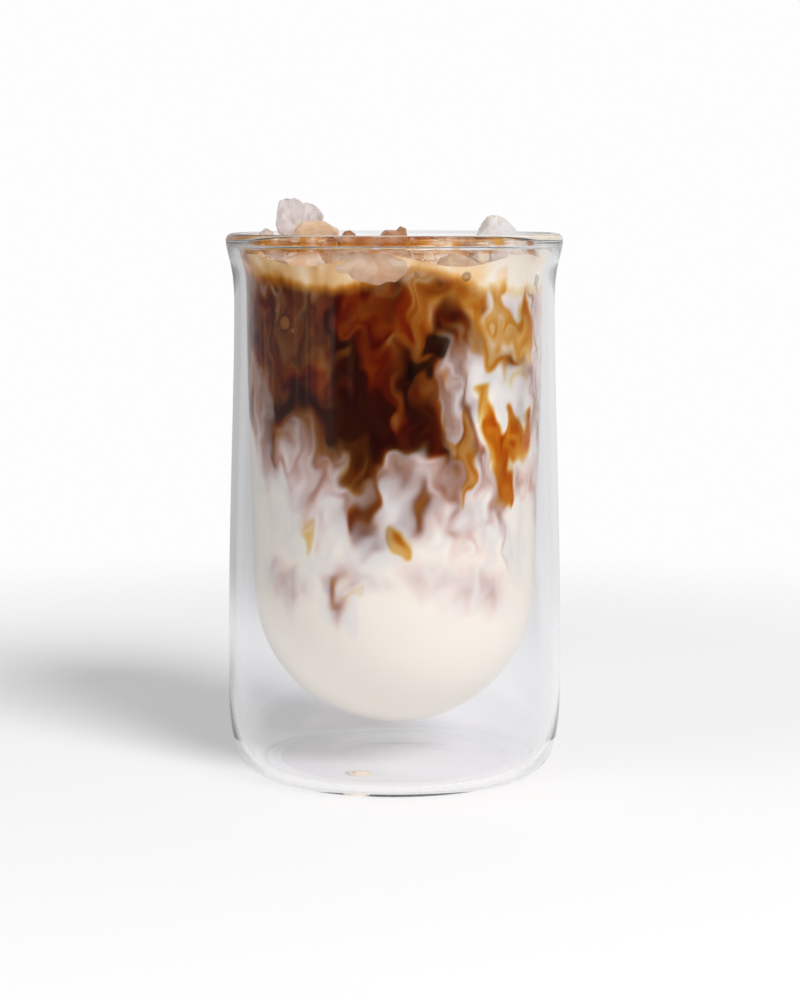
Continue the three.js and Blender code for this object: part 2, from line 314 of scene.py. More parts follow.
# Plumes: angle from the front, height, half width, half height and half depth,
# and what they add to the share of coffee
PLUMES = [
    (36, 95, 5, 11, 5, -0.25),
    (49, 85, 8, 11, 6, -0.3),
    (72, 112, 12, 10, 5, -0.2),
    (60, 70, 10, 8, 5, 0.18),
    (-2, 102, 13, 8, 12, 0.26),
    (-40, 96, 14, 8, 9, 0.08),
    (8, 104, 4, 3.6, 6, 0.5),
    (15, 109, 3.4, 3.2, 5, 0.45),
    (4, 117, 5, 4, 4, -0.2),
    (-3, 71, 9, 6, 6, 0.3),
    (-34, 66, 2.0, 5, 2.5, 0.2),
]

# Films of clear coffee against the wall: angle from the front, height, half width, half height, thickness
AMBERS = [
    (0, 108, 27, 17, 0.9),
    (-50, 107, 26, 15, 1.1),
    (8, 119, 16, 5, 1.2),
    (-24, 117, 14, 5, 0.4),
    (0, 89, 17, 10, 0.6),
    (55, 76, 8.5, 12, 1.3),
    (25, 81, 4, 8, 1.1),
    (42, 118.5, 2.6, 5, 0.8),
    (36, 106, 13, 14, 0.45),
]

# Small drips of coffee in the milk, and faint smudges low in it, in the same terms
DRIPS = [(2.5, 62.4, 2.6, 4.6, 0.9), (-17.5, 50.9, 4.2, 2.2, 0.3), (-37, 63.8, 2, 5.5, 0.4)]
SMUDGES = [
    (-24.5, 49.5, 5, 9, 0.32),
    (-16, 52.5, 8, 5, 0.16),
    (-49, 51, 9, 8, 0.2),
    (35, 50, 12, 8, 0.2),
    (13, 54, 10, 6, 0.12),
]

# Gaps between chunks of ice that show dark coffee, darkened further with painted shade: angle from the front,
# height, half width, half height
SHADED_OPENINGS = [(10.4, 105.4, 3.2, 2.9), (16.4, 109.2, 2.7, 2.7)]

# Bubbles on the foam's top: how many places are tried, the radii, the rings of a dome,
# how high and how far sunk it is as shares of its radius, and the colours of its foot and top, painted shade
# at the foot and painted light on the top
FROTH_TRIES = 700
FROTH_SEED = 61
FROTH_SMALL = 0.22
FROTH_LARGE = 1.1
FROTH_COLUMNS = 12
FROTH_CLIMBS = (0, 25, 50, 72)
FROTH_HEIGHT = 0.7
FROTH_SUNK = 0.15
FROTH_SHADE_TO_LIGHT = (linear(150, 92, 44), linear(240, 206, 164))

# Bubbles against the wall: angle from the front, height and radius
BUBBLES = [
    (-45.7, 114.4, 2.0),
    (-50.5, 117.2, 0.7),
    (-41.5, 112.6, 0.8),
    (-40.2, 115.6, 0.5),
    (27.6, 125.8, 1.1),
    (8.5, 126.4, 0.6),
    (112, 117, 1.5),
    (120, 114.5, 0.7),
    (-150, 116.5, 1.8),
    (-142, 119, 0.8),
    (172, 121, 1.1),
]
STREAKS = waves(24, 5, 1.2, 41, 0.03)
LIP_STREAKS = waves(24, 4, 1.2, 43, 5)
STREAK_COLOUR = linear(196, 150, 118)
BUBBLE_COLOUR = linear(150, 94, 48)

# How strongly marks and painted shade on the wall show, and between which heights streaks start and end
STREAK_STRENGTH = 0.08
STREAK_START = (92, 100)
STREAK_END = (114, 121)
OPENING_SHADE = 0.88
BUBBLE_STRENGTH = 0.6
BUBBLE_RIM_SHADE = 0.5

# The foam: its colours from brown to cream, the height of its lower edge by angle from the front,
# how the edge fades and wanders, how pale the sides and the top are, with painted light that makes the right
# side paler, and how much of a film's colour it takes up
FOAM_COLOURS = [
    (0.0, linear(152, 86, 20)),
    (0.35, linear(218, 158, 84)),
    (0.7, linear(251, 213, 160)),
    (1.0, linear(255, 244, 226)),
]
FOAM_EDGE = [(-180, 125.5), (-80, 126), (-46, 124.4), (-20, 123), (-4, 125.8), (9, 128.6), (22, 126.6),
             (35, 122.2), (55, 121.2), (90, 123.4), (180, 125.5)]
FOAM_PATTERN = waves(24, 26, 8, 71, 2.0)
FOAM_FADE = (-2.4, 1.8)
FOAM_UNEVEN = 0.7
FOAM_DRIPS = 0.25
FOAM_PALENESS = 0.46
FOAM_LIGHT_ON_RIGHT = 0.75
FOAM_SWIRL = 0.2
FOAM_GRAIN = 0.07
CREMA_PALENESS = 0.12
CREMA_SWIRL = 0.4
FOAM_FILM = 0.16
FRINGE_FILM = 0.55
FRINGE_LESS_RIGHT = 0.7


# Outlines: points (radius, height) along curves
def bend(start, leave, arrive, end, steps):
    t = np.linspace(0, 1, steps + 1)[:, None]
    weights = [(1 - t) ** 3, 3 * t * (1 - t) ** 2, 3 * t * t * (1 - t), t ** 3]
    return sum(weight * np.array(place) for weight, place in zip(weights, (start, leave, arrive, end)))


def arc(centre, radius, start, end, steps):
    turn = np.radians(np.linspace(start, end, steps + 1))
    return np.array(centre) + radius * np.stack([np.cos(turn), np.sin(turn)], 1)


def line(start, end, steps):
    return np.linspace(start, end, steps + 1)


def outline(*stretches):
    points = np.concatenate(stretches)
    apart = np.linalg.norm(np.diff(points, axis=0), axis=1) > 1e-4
    return points[np.r_[True, apart]]


def side_curve(belly, neck):
    return bend(belly, (belly[0], BELLY_HIGH_HANDLE), (neck[0], NECK_LOW_HANDLE), neck, 30)


def cup_curve(top, bowl):
    return bend(top, (top[0], CUP_SIDE_HANDLE), (bowl[0], BOWL_SIDE_HANDLE), bowl, 30)


def outer_face():
    """The outside, from the middle of the foot up to the outside of the lip"""
    belly = (BELLY_RADIUS, BELLY_HEIGHT)
    neck = (NECK_RADIUS, NECK_HEIGHT)
    lip = (RIM_RADIUS, RIM_TOP - LIP_RADIUS)
    punt_middle = (PUNT_FLAT + PUNT_RADIUS) / 2
    return outline(
        line((0, PUNT_DEPTH), (PUNT_FLAT, PUNT_DEPTH), 8),
        bend((PUNT_FLAT, PUNT_DEPTH), (punt_middle, PUNT_DEPTH), (punt_middle, 0), (PUNT_RADIUS, 0), 16),
        line((PUNT_RADIUS, 0), (FOOT_RADIUS, 0), 3),
        bend((FOOT_RADIUS, 0), (FOOT_HANDLE, 0), (BELLY_RADIUS, BELLY_LOW_HANDLE), belly, 28),
        side_curve(belly, neck),
        bend(neck, (NECK_RADIUS, NECK_HIGH_HANDLE), LIP_OUTER_HANDLE, lip, 16),
    )


def cup_face():
    """The face that holds the drink, from the inside of the lip down to the bottom of the bowl"""
    lip = (RIM_RADIUS - 2 * LIP_RADIUS, RIM_TOP - LIP_RADIUS)
    top = (CUP_RADIUS, NECK_HEIGHT)
    return outline(
        bend(lip, LIP_INNER_HANDLE, CUP_TOP_HANDLE, top, 18),
        cup_curve(top, (BOWL_RADIUS, BOWL_HEIGHT)),
        arc((0, BOWL_HEIGHT), BOWL_RADIUS, 0, -90, 34),
    )


def cavity_outline():
    """The closed space between the walls"""
    belly = (BELLY_RADIUS - WALL, BELLY_HEIGHT)
    neck = (NECK_RADIUS - WALL, NECK_HEIGHT)
    end_height = CAVITY_TOP - CAVITY_END_RADIUS
    end_outer = (CAVITY_END_OUTER, end_height)
    end_inner = (CAVITY_END_OUTER - 2 * CAVITY_END_RADIUS, end_height)
    cup_top = (CUP_RADIUS + WALL, NECK_HEIGHT)
    bowl_radius = BOWL_RADIUS + WALL
    return outline(
        line((0, FLOOR_HEIGHT), (FLOOR_RADIUS, FLOOR_HEIGHT), 12),
        bend((FLOOR_RADIUS, FLOOR_HEIGHT), (FLOOR_HANDLE, FLOOR_HEIGHT),
             (belly[0], BELLY_LOW_HANDLE + WALL), belly, 28),
        side_curve(belly, neck),
        bend(neck, (neck[0], NECK_HIGH_HANDLE - WALL), CAVITY_OUTER_HANDLE, end_outer, 14),
        arc((CAVITY_END_OUTER - CAVITY_END_RADIUS, end_height), CAVITY_END_RADIUS, 0, 180, 12),
        bend(end_inner, CAVITY_INNER_HANDLE, (cup_top[0], CAVITY_CUP_HANDLE), cup_top, 14),
        cup_curve(cup_top, (bowl_radius, BOWL_HEIGHT)),
        arc((0, BOWL_HEIGHT), bowl_radius, 0, -90, 34),
    )


# Meshes
def new_piece(name, vertices, faces):
    """A smooth-shaded object from points in millimetres"""
    mesh = bpy.data.meshes.new(name)
    mesh.from_pydata((np.asarray(vertices) * MM).tolist(), [], faces)
    mesh.shade_smooth()
    piece = bpy.data.objects.new(name, mesh)
    bpy.context.scene.collection.objects.link(piece)
    return piece


def ring_faces(rows, columns, first):
    """Faces of a closed skin of rings about Z. The first and last vertex are its poles."""
    column = np.arange(columns)
    beside = (column + 1) % columns
    pairs = list(zip(column.tolist(), beside.tolist()))
    faces = [(first, first + 1 + b, first + 1 + a) for a, b in pairs]
    for row in range(rows - 3):
        low = first + 1 + row * columns
        high = low + columns
        quads = np.stack([low + column, low + beside, high + beside, high + column], 1)
        faces += quads.tolist()
    last = first + 1 + (rows - 2) * columns
    faces += [(last - columns + a, last - columns + b, last) for a, b in pairs]
    return faces


def ring_skin(rings, first=0):
    """Vertices and faces of a closed skin from an array of rings, rows by columns by 3"""
    rows, columns = rings.shape[:2]
    vertices = np.concatenate([rings[0, :1], rings[1:-1].reshape(-1, 3), rings[-1, :1]])
    return vertices, ring_faces(rows, columns, first)


def turned(points, columns):
    """Rings of a solid of revolution about Z"""
    turn = np.arange(columns) / columns * math.tau
    radius = points[:, 0][:, None]
    height = np.repeat(points[:, 1][:, None], columns, 1)
    return np.stack([radius * np.cos(turn), radius * np.sin(turn), height], 2)


def settle(piece):
    """Gives a piece the mesh that its modifiers make"""
    depsgraph = bpy.context.evaluated_depsgraph_get()
    made = bpy.data.meshes.new_from_object(piece.evaluated_get(depsgraph))
    piece.modifiers.clear()
    spent = piece.data
    piece.data = made
    bpy.data.meshes.remove(spent)


def combine(piece, other, operation):
    """Joins, cuts or intersects a piece with another object, which is then removed"""
    tool = piece.modifiers.new("combine", "BOOLEAN")
    tool.operation = operation
    tool.solver = "MANIFOLD"
    tool.object = other
    settle(piece)
    bpy.data.objects.remove(other)


def soft_edges(piece, degrees):
    """Smooth shading that stops at edges sharper than an angle"""
    piece.data.shade_smooth()
    piece.data.set_sharp_from_angle(angle=math.radians(degrees))


def points_of(mesh, what="co"):
    """A mesh's vertex places in millimetres, or its vertex normals"""
    values = np.empty(len(mesh.vertices) * 3)
    source = mesh.vertices if what == "co" else mesh.vertex_normals
    source.foreach_get("co" if what == "co" else "vector", values)
    return values.reshape(-1, 3) / (MM if what == "co" else 1)


def store_colours(mesh, name, colours):
    """Keeps a colour at each point of a mesh for its material"""
    stored = mesh.attributes.new(name, "FLOAT_COLOR", "POINT")
    stored.data.foreach_set("color", np.c_[colours, np.ones(len(colours))].ravel())


def finish(piece, *materials):
    """Gives a piece its materials, with the first of them all over"""
    mesh = piece.data
    mesh.materials.clear()
    for made in materials:
        mesh.materials.append(made)
    mesh.polygons.foreach_set("material_index", np.zeros(len(mesh.polygons), np.int32))


def show(piece, slot, *nodes):
    """Puts a piece in place of CAD nodes"""
    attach(piece, BODY)
    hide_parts(*nodes)


# Materials
def material(name, sockets):
    made = bpy.data.materials.new(name)
    made.use_nodes = True
    shader = made.node_tree.nodes["Principled BSDF"]
    for socket, value in sockets.items():
        shader.inputs[socket].default_value = value
    return made


def node(tree, kind, settings=None, inputs=None):
    """A node with its settings, whose inputs are set to values or linked to other nodes' outputs"""
    made = tree.nodes.new(kind)
    for name, value in (settings or {}).items():
        setattr(made, name, value)
    for name, value in (inputs or {}).items():
        if isinstance(value, bpy.types.NodeSocket):
            tree.links.new(value, made.inputs[name])
        else:
            made.inputs[name].default_value = value
    return made


def math_node(tree, operation, *inputs):
    return node(tree, "ShaderNodeMath", {"operation": operation}, dict(enumerate(inputs))).outputs[0]


def noise(tree, scale, detail, distortion=0.0, place=None):
    """A noise texture's value, from 0 to 1"""
    inputs = {"Scale": scale, "Detail": detail, "Distortion": distortion}
    if place is not None:
        inputs["Vector"] = place
    return node(tree, "ShaderNodeTexNoise", None, inputs).outputs["Fac"]


def ramp(tree, factor, stops):
    """A colour ramp through (place, colour) stops"""
    made = node(tree, "ShaderNodeValToRGB", None, {"Fac": factor})
    elements = made.color_ramp.elements
    while len(elements) < len(stops):
        elements.new(0.5)
    for element, (place, colour) in zip(elements, stops):
        element.position = place
        element.color = (*colour, 1)
    return made.outputs["Color"]


def let_light_in(made, tint):
    """Lamps and soft light pass straight through a clear surface, so that they reach what is behind it"""
    tree = made.node_tree
    shader = tree.nodes["Principled BSDF"]
    path = node(tree, "ShaderNodeLightPath")
    passes = math_node(tree, "MAXIMUM", path.outputs["Is Shadow Ray"], path.outputs["Is Diffuse Ray"])
    clear = node(tree, "ShaderNodeBsdfTransparent", None, {"Color": (*tint, 1)})
    mixed = node(tree, "ShaderNodeMixShader", None, {0: passes, 1: shader.outputs[0], 2: clear.outputs[0]})
    tree.links.new(mixed.outputs[0], tree.nodes["Material Output"].inputs["Surface"])


def glass_material():
    """Clear glass, tinted where coffee clings to it"""
    made = material("clear_glass", {"Roughness": 0.0, "IOR": 1.47, "Transmission Weight": 1.0})
    tree = made.node_tree
    tint = node(tree, "ShaderNodeAttribute", {"attribute_name": "tint"})
    tree.links.new(tint.outputs["Color"], tree.nodes["Principled BSDF"].inputs["Base Color"])
    let_light_in(made, GLASS_SHADE)
    return made


def plug_material():
    made = material("plug_rubber", {"Roughness": 0.45, "Subsurface Weight": 0.2, "Subsurface Scale": 0.001})
    tree = made.node_tree
    colour = ramp(tree, noise(tree, 900, 4), [(0.3, linear(232, 214, 190)), (0.7, linear(250, 238, 222))])
    tree.links.new(colour, tree.nodes["Principled BSDF"].inputs["Base Color"])
    return made


def drink_material(name, specular, roughness):
    """Colour from the dye that is worked out at each point, painted shade and light included, with a fine
    grain over it
    """
    made = material(name, {"Specular IOR Level": specular})
    tree = made.node_tree
    shader = tree.nodes["Principled BSDF"]
    dye = node(tree, "ShaderNodeAttribute", {"attribute_name": "dye"})
    grain = noise(tree, 700, 5)
    tone = node(tree, "ShaderNodeMapRange", None, {"Value": grain, "To Min": 0.965, "To Max": 1.035})
    tinted = node(tree, "ShaderNodeVectorMath", {"operation": "SCALE"},
                  {0: dye.outputs["Color"], "Scale": tone.outputs["Result"]})
    rough = node(tree, "ShaderNodeMapRange", None,
                 {"Value": grain, "To Min": roughness - 0.06, "To Max": roughness + 0.06})
    tree.links.new(tinted.outputs[0], shader.inputs["Base Color"])
    tree.links.new(rough.outputs["Result"], shader.inputs["Roughness"])
    return made


def ice_material(name, stops, shade, clearness):
    """Clouded ice, coloured by height through its stops: where it has taken up the drink low down, and in the
    pale look with painted shade toward its top; with veins of a darker shade
    """
    low = stops[0][0]
    tall = stops[-1][0] - low
    made = material(name, {
        "Roughness": 0.24,
        "IOR": 1.31,
        "Transmission Weight": clearness,
    })
    tree = made.node_tree
    shader = tree.nodes["Principled BSDF"]
    place = node(tree, "ShaderNodeTexCoord").outputs["Object"]
    up = node(tree, "ShaderNodeSeparateXYZ", None, {0: place}).outputs["Z"]
    cloud = noise(tree, 260, 4, 0.6, place)
    uneven = math_node(tree, "MULTIPLY_ADD", cloud, ICE_CLOUDING * MM, up)
    middle = ICE_CLOUDING / 2
    level = node(tree, "ShaderNodeMapRange", None, {
        "Value": uneven, "From Min": (low + middle) * MM, "From Max": (low + tall + middle) * MM})
    shares = [((height - low) / tall, linear(*shown)) for height, shown in stops]
    colour = ramp(tree, level.outputs["Result"], shares)
    rough = node(tree, "ShaderNodeMapRange", None, {"Value": cloud, "To Min": 0.08, "To Max": 0.36})
    veined = ramp(tree, noise(tree, 170, 3, 1.2, place), [(0.38, shade), (0.6, (1, 1, 1))])
    tinted = node(tree, "ShaderNodeVectorMath", {"operation": "MULTIPLY"}, {0: colour, 1: veined})
    tree.links.new(tinted.outputs[0], shader.inputs["Base Color"])
    tree.links.new(rough.outputs["Result"], shader.inputs["Roughness"])
    let_light_in(made, ICE_SHADE)
    return made


# The glass
def vent_bar(name, radius, low, high):
    """A round bar along Z, centred on the vent"""
    low_corner, high_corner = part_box("vent_plug")
    place = (low_corner + high_corner) / 2 / MM
    points = np.array([(0, low), (radius, low), (radius, high), (0, high)])
    vertices, faces = ring_skin(turned(points, VENT_COLUMNS))
    return new_piece(name, vertices + [place.x, place.y, 0], faces)


def lip_stain(places):
    """How much coffee clings to the inside of the lip, from 0 to 1: streaks round the front"""
    x, y, z = places.T
    radius = np.hypot(x, y)
    lip_middle = RIM_RADIUS - LIP_RADIUS
    inside = radius < np.where(z > RIM_TOP - LIP_RADIUS, lip_middle, fill_radius(z) + WALL / 3)
    band = smooth(z, *STAIN_FOOT) * smooth(-z, -RIM_TOP, 1 - RIM_TOP)
    front = smooth(-y / radius.clip(1), -0.3, 0.3)
    streaks = smooth(ripple(places, LIP_STREAKS) - STAIN_LEFT * x / RIM_RADIUS, -0.6, 0.5)
    return inside * band * front * streaks


def make_glass():
    lip_centre = (RIM_RADIUS - LIP_RADIUS, RIM_TOP - LIP_RADIUS)
    body = outline(outer_face(), arc(lip_centre, LIP_RADIUS, 0, 180, 18), cup_face())
    vertices, faces = ring_skin(turned(body, GLASS_COLUMNS))
    hollow, hollow_faces = ring_skin(turned(cavity_outline(), GLASS_COLUMNS), len(vertices))
    faces += [tuple(reversed(face)) for face in hollow_faces]
    glass = new_piece("glass_body", np.concatenate([vertices, hollow]), faces)
    combine(glass, vent_bar("vent_hole", VENT_RADIUS, -1, FLOOR_HEIGHT + 1), "DIFFERENCE")
    combine(glass, vent_bar("vent_seat", VENT_SEAT_RADIUS, -1, VENT_SEAT_TOP), "DIFFERENCE")
    soft_edges(glass, 40)
    stain = lip_stain(points_of(glass.data))[:, None]
    store_colours(glass.data, "tint", GLASS_TINT + stain * (STAIN_TINT - GLASS_TINT))
    finish(glass, glass_material())
    show(glass, "glass", "glass")


def make_plug():
    low_corner, high_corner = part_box("vent_plug")
    place = (low_corner + high_corner) / 2 / MM
    low = low_corner.z / MM
    high = high_corner.z / MM
    head = VENT_SEAT_RADIUS + INTO_WALL
    head_top = VENT_SEAT_TOP + INTO_WALL
    stem = VENT_RADIUS + INTO_WALL
    edge = PLUG_EDGE
    points = outline(
        line((0, low), (head - edge, low), 5),
        arc((head - edge, low + edge), edge, -90, 0, 4),
        line((head, low + edge), (head, head_top), 3),
        line((head, head_top), (stem, head_top), 3),
        line((stem, head_top), (stem, high - edge), 3),
        arc((stem - edge, high - edge), edge, 0, 90, 4),
        line((stem - edge, high), (0, high), 2),
    )
    vertices, faces = ring_skin(turned(points, VENT_COLUMNS))
    plug = new_piece("vent_plug_body", vertices + [place.x, place.y, 0], faces)
    soft_edges(plug, 45)
    finish(plug, plug_material())
    show(plug, "plug", "vent_plug")


# Ice
def spread(seed, index):
    """A repeatable number from 0 to 1"""
    wave = np.sin(seed * 12.9898 + index * 78.233) * 43758.5453
    return wave - np.floor(wave)


def ice_block(name, block):
    """The hull of points spread over a rounded box and chipped in a little"""
    at, half, turn, lean, seed = block
    index = np.arange(ICE_POINTS)
    height = 1 - (2 * index + 1) / ICE_POINTS
    around = index * GOLDEN_ANGLE + spread(seed, index)
    across = np.sqrt(1 - height ** 2)
    facing = np.stack([across * np.cos(around), across * np.sin(around), height], 1)
    bulk = (np.abs(facing) ** ICE_BOXINESS).sum(1) ** (1 / ICE_BOXINESS)
    reach = (1 - ICE_CHIP * spread(seed, index + ICE_POINTS)) / bulk
    points = facing * reach[:, None] * half
    leaning = math.radians(lean)
    turning = math.radians(turn)
    x = points[:, 0] * math.cos(leaning) + points[:, 2] * math.sin(leaning)
    z = points[:, 2] * math.cos(leaning) - points[:, 0] * math.sin(leaning)
    y = points[:, 1]
    placed = np.stack([
        at[0] + x * math.cos(turning) - y * math.sin(turning),
        at[1] + x * math.sin(turning) + y * math.cos(turning),
        at[2] + z,
    ], 1)
    shell = bmesh.new()
    for place in placed * MM:
        shell.verts.new(place)
    hull = bmesh.ops.convex_hull(shell, input=shell.verts)
    bmesh.ops.delete(shell, geom=hull["geom_interior"], context="VERTS")
    bmesh.ops.recalc_face_normals(shell, faces=shell.faces)
    mesh = bpy.data.meshes.new(name)
    shell.to_mesh(mesh)
    shell.free()
    piece = bpy.data.objects.new(name, mesh)
    bpy.context.scene.collection.objects.link(piece)
    return piece


def cup_room(gap):
    """The room inside the cup, a gap away from its face and open at the top"""
    inside = cup_face()[::-1] - [gap, 0]
    inside[:, 0] = np.maximum(inside[:, 0], 0)
    above = RIM_TOP + 20
    points = outline(inside, [(inside[-1, 0], above), (0, above)])
    return new_piece("cup_room", *ring_skin(turned(points, 192)))


def weathered(chunk, seed):
    """Rounds a chunk's edges a little and gives its faces a low melted relief"""
    voxels = chunk.modifiers.new("voxels", "REMESH")
    voxels.mode = "VOXEL"
    voxels.voxel_size = ICE_VOXEL * MM
    rounding = chunk.modifiers.new("rounding", "SMOOTH")
    rounding.factor = 0.5
    rounding.iterations = ICE_SOFTENING
    settle(chunk)
    places = points_of(chunk.data)
    pits = ripple(places, waves(*ICE_PITS, seed))
    relief = pits - np.abs(ripple(places, waves(*ICE_HOLLOWS, seed + 1)))
    moved = places + (ICE_RELIEF * (relief - ICE_RELIEF_SET_BACK))[:, None] * points_of(chunk.data, "normal")
    chunk.data.vertices.foreach_set("co", (moved * MM).ravel())
    chunk.data.update()


def make_ice(name, blocks, made):
    """One chunk of ice, and the mesh that cuts the drink round it"""
    chunk = ice_block(name + "_body", blocks[0])
    for block in blocks[1:]:
        combine(chunk, ice_block("grown", block), "UNION")
    at_wall = name in ICE_AT_WALL
    if not at_wall:
        combine(chunk, cup_room(ICE_GAP), "INTERSECT")
    weathered(chunk, blocks[0][4])
    cutter = chunk.data.copy()
    shrunk = points_of(cutter) - ICE_SHRINK * points_of(cutter, "normal")
    cutter.vertices.foreach_set("co", (shrunk * MM).ravel())
    if at_wall:
        combine(chunk, cup_room(-INTO_WALL / 2), "INTERSECT")
    soft_edges(chunk, 45)
    finish(chunk, made)
    show(chunk, "ice", name)
    return cutter


def ice_cutter(meshes):
    """All the ice in one object, a little smaller, to cut the drink round it"""
    joined = bmesh.new()
    for mesh in meshes:
        joined.from_mesh(mesh)
    whole = bpy.data.meshes.new("ice_cutter")
    joined.to_mesh(whole)
    joined.free()
    cutter = bpy.data.objects.new("ice_cutter", whole)
    bpy.context.scene.collection.objects.link(cutter)
    return cutter


def make_all_ice():
    """Every chunk of ice, and the meshes that cut the drink round them"""
    looks = {name: ice_material(name, *look) for name, look in ICE_LOOKS.items()}
    cutters = []
    for name, blocks in ICE.items():
        look = CHUNK_LOOKS.get(name, ICE_USUAL_LOOK)
        cutters.append(make_ice(name, blocks, looks[look]))
    return cutters


# The drink's form
CUP_POINTS = cup_face()[::-1]
ANGLES = np.arange(DRINK_COLUMNS) / DRINK_COLUMNS * math.tau


def fill_radius(height):
    """Radius that the drink fills at a height"""
    return np.interp(height, CUP_POINTS[:, 1], CUP_POINTS[:, 0]) + INTO_WALL


def milk_top(share):
    """Heights of the milk's top round the glass, at a share of the radius"""
    slope = MILK_SLOPE[0] * np.cos(ANGLES) + MILK_SLOPE[1] * np.sin(ANGLES) + MILK_SADDLE * np.cos(2 * ANGLES)
    tall, count, turn = MILK_FINGERS
    fingers = tall * np.cos(count * ANGLES + turn)
    return MILK_TOP + share * slope + share ** 2 * fingers


def foam_bottom(share):
    swell = sum(tall * np.cos(count * ANGLES + turn) for tall, count, turn in FOAM_WAVES)
    return FOAM_BOTTOM + share * swell


def foam_top(share):
    swell = FOAM_SWELL * (0.5 + 0.5 * np.cos(FOAM_SWELLS * ANGLES + FOAM_SWELL_TURN))
    return FILL_HEIGHT + swell * share ** FOAM_SWELL_POWER + MENISCUS * share ** MENISCUS_POWER


def ring(radius, height):
    radius = radius * np.ones(DRINK_COLUMNS)
    height = height * np.ones(DRINK_COLUMNS)
    return np.stack([radius * np.cos(ANGLES), radius * np.sin(ANGLES), height], 1)


def limit_rings(limit, shares):
    """Rings over a layer's limit, at shares of the radius"""
    edge = fill_radius(limit(1))
    return [ring(share * edge, limit(share)) for share in shares]


def wall_rings(low, high):
    """Rings up the wall between two limits, without the limits themselves"""
    steps = math.ceil((high - low).mean() / DRINK_STEP)
    heights = [low + (high - low) * step / steps for step in range(1, steps)]
    return [ring(fill_radius(height), height) for height in heights]


def bowl_rings():
    climb = np.linspace(0, math.pi / 2, BOWL_ROWS)
    radius = BOWL_RADIUS + INTO_WALL
    return [ring(radius * math.sin(a), BOWL_HEIGHT - radius * math.cos(a)) for a in climb]


def drink_piece(name, rings):
    return new_piece(name, *ring_skin(np.array(rings)))


def make_milk():
    bowl = np.full(DRINK_COLUMNS, float(BOWL_HEIGHT))
    rings = bowl_rings() + wall_rings(bowl, milk_top(1)) + limit_rings(milk_top, HIDDEN_SHARES)[::-1]
    return drink_piece("milk_body", rings)


def make_coffee():
    rings = limit_rings(milk_top, HIDDEN_SHARES) + wall_rings(milk_top(1), foam_bottom(1))
    return drink_piece("coffee_body", rings + limit_rings(foam_bottom, HIDDEN_SHARES)[::-1])


def make_foam():
    rings = limit_rings(foam_bottom, HIDDEN_SHARES) + wall_rings(foam_bottom(1), foam_top(1))
    return drink_piece("foam_body", rings + limit_rings(foam_top, TOP_SHARES)[::-1])


# The drink's colour, worked out at each point of its surface
def carried(places, current):
    """Where the drink at each place came from"""
    (wave, push, phase), reach, steps = current
    for _ in range(steps):
        places = places - reach / steps * (np.cos(places @ wave.T + phase) @ push)
    return places


def patches(places, spots, softness):
    """Sum of oval spots on the wall: angle from the front, height, half width, half height and amount"""
    x, y, z = places.T
    angle = np.arctan2(x, -y)
    radius = np.hypot(x, y)
    total = np.zeros(len(places))
    for degrees, height, wide, tall, amount in spots:
        away = angle - math.radians(degrees)
        reach = 1 - np.hypot(radius * np.sin(away) / wide, (z - height) / tall)
        total += (np.cos(away) > 0) * amount * smooth(reach, 0, softness)
    return total


def coffee_share(places):
    """Share of coffee in the drink at each place, from 0 to 1. The bottom of the bowl is plain milk."""
    reached = smooth(places[:, 2], *PLAIN_MILK)
    places = carried(places, CURRENTS[0])
    smudges = patches(carried(places, SLOW_CURRENT), SMUDGES, 1.0) * (1 + 0.5 * ripple(places, WISPS))
    for current in CURRENTS[1:]:
        places = carried(places, current)
    x, y, z = places.T
    angle = np.arctan2(x, -y)
    radius = np.hypot(x, y)
    inward = CUP_RADIUS - radius
    level = MILK_TOP + MIX_RISE - MIX_SIDE * np.sin(angle)
    level = level - MIX_FRONT * np.cos(angle) - MIX_SADDLE * np.cos(2 * angle)
    over = z - level
    busy = smooth(np.sin(angle - BUSY_TURN), *BUSY_SIDE)
    golden = smooth(z, *GOLDEN_HEIGHT)
    above = 0.5 * smooth(over, *MIX_LOW) + 0.5 * smooth(over, *MIX_HIGH)
    share = (COFFEE_FULL - COFFEE_LESS_GOLDEN * golden - COFFEE_LESS_BUSY * busy) * above
    share = share - COFFEE_LESS_INSIDE * smooth(inward, *INSIDE_DEPTH) * above
    patchy = (PATCH_STRENGTH + PATCH_BUSY * busy) * ripple(places, PATCHES)
    wispy = (WISP_STRENGTH + WISP_BUSY * busy) * ripple(places, WISPS)
    share = share + patchy * smooth(over, *PATCH_HEIGHT)
    share = share + wispy * smooth(over, *WISP_HEIGHT)
    share = np.maximum(share, (COFFEE_LEAST - COFFEE_LEAST_BUSY * busy) * smooth(over, *LEAST_HEIGHT))
    for degrees, height, wide, tall, deep, strength in PLUMES:
        away = angle - math.radians(degrees)
        across = radius * np.sin(away)
        inside = BOWL_RADIUS - radius * np.cos(away)
        fall = -(across / wide) ** 2 - ((z - height) / tall) ** 2 - (inside / deep) ** 2
        share = share + strength * np.exp(fall)
    return np.clip((share + smudges) * reached, 0, 1)


def mixed(share):
    """How strongly a mix scatters light, and the ratio of what it takes up to what it scatters"""
    places = [place for place, _ in MIXES]
    colours = np.array([colour for _, colour in MIXES])
    ratios = np.log((1 - colours) ** 2 / (2 * colours))
    ratio = np.exp(np.stack([np.interp(share, places, channel) for channel in ratios.T], 1))
    scatter = MILK_SCATTER * ((1 - share) ** MILK_POWER)[:, None] + COFFEE_SCATTER
    return scatter, ratio


def film(places):
    """Thickness of the clear coffee against the wall"""
    places = carried(places, CURRENTS[0])
    thick = patches(places, DRIPS, 0.4)
    for current in CURRENTS[1:]:
        places = carried(places, current)
    thick = thick + patches(places, AMBERS, 0.4)
    return np.maximum(thick * (1 + 0.35 * ripple(places, FILMS)), 0)


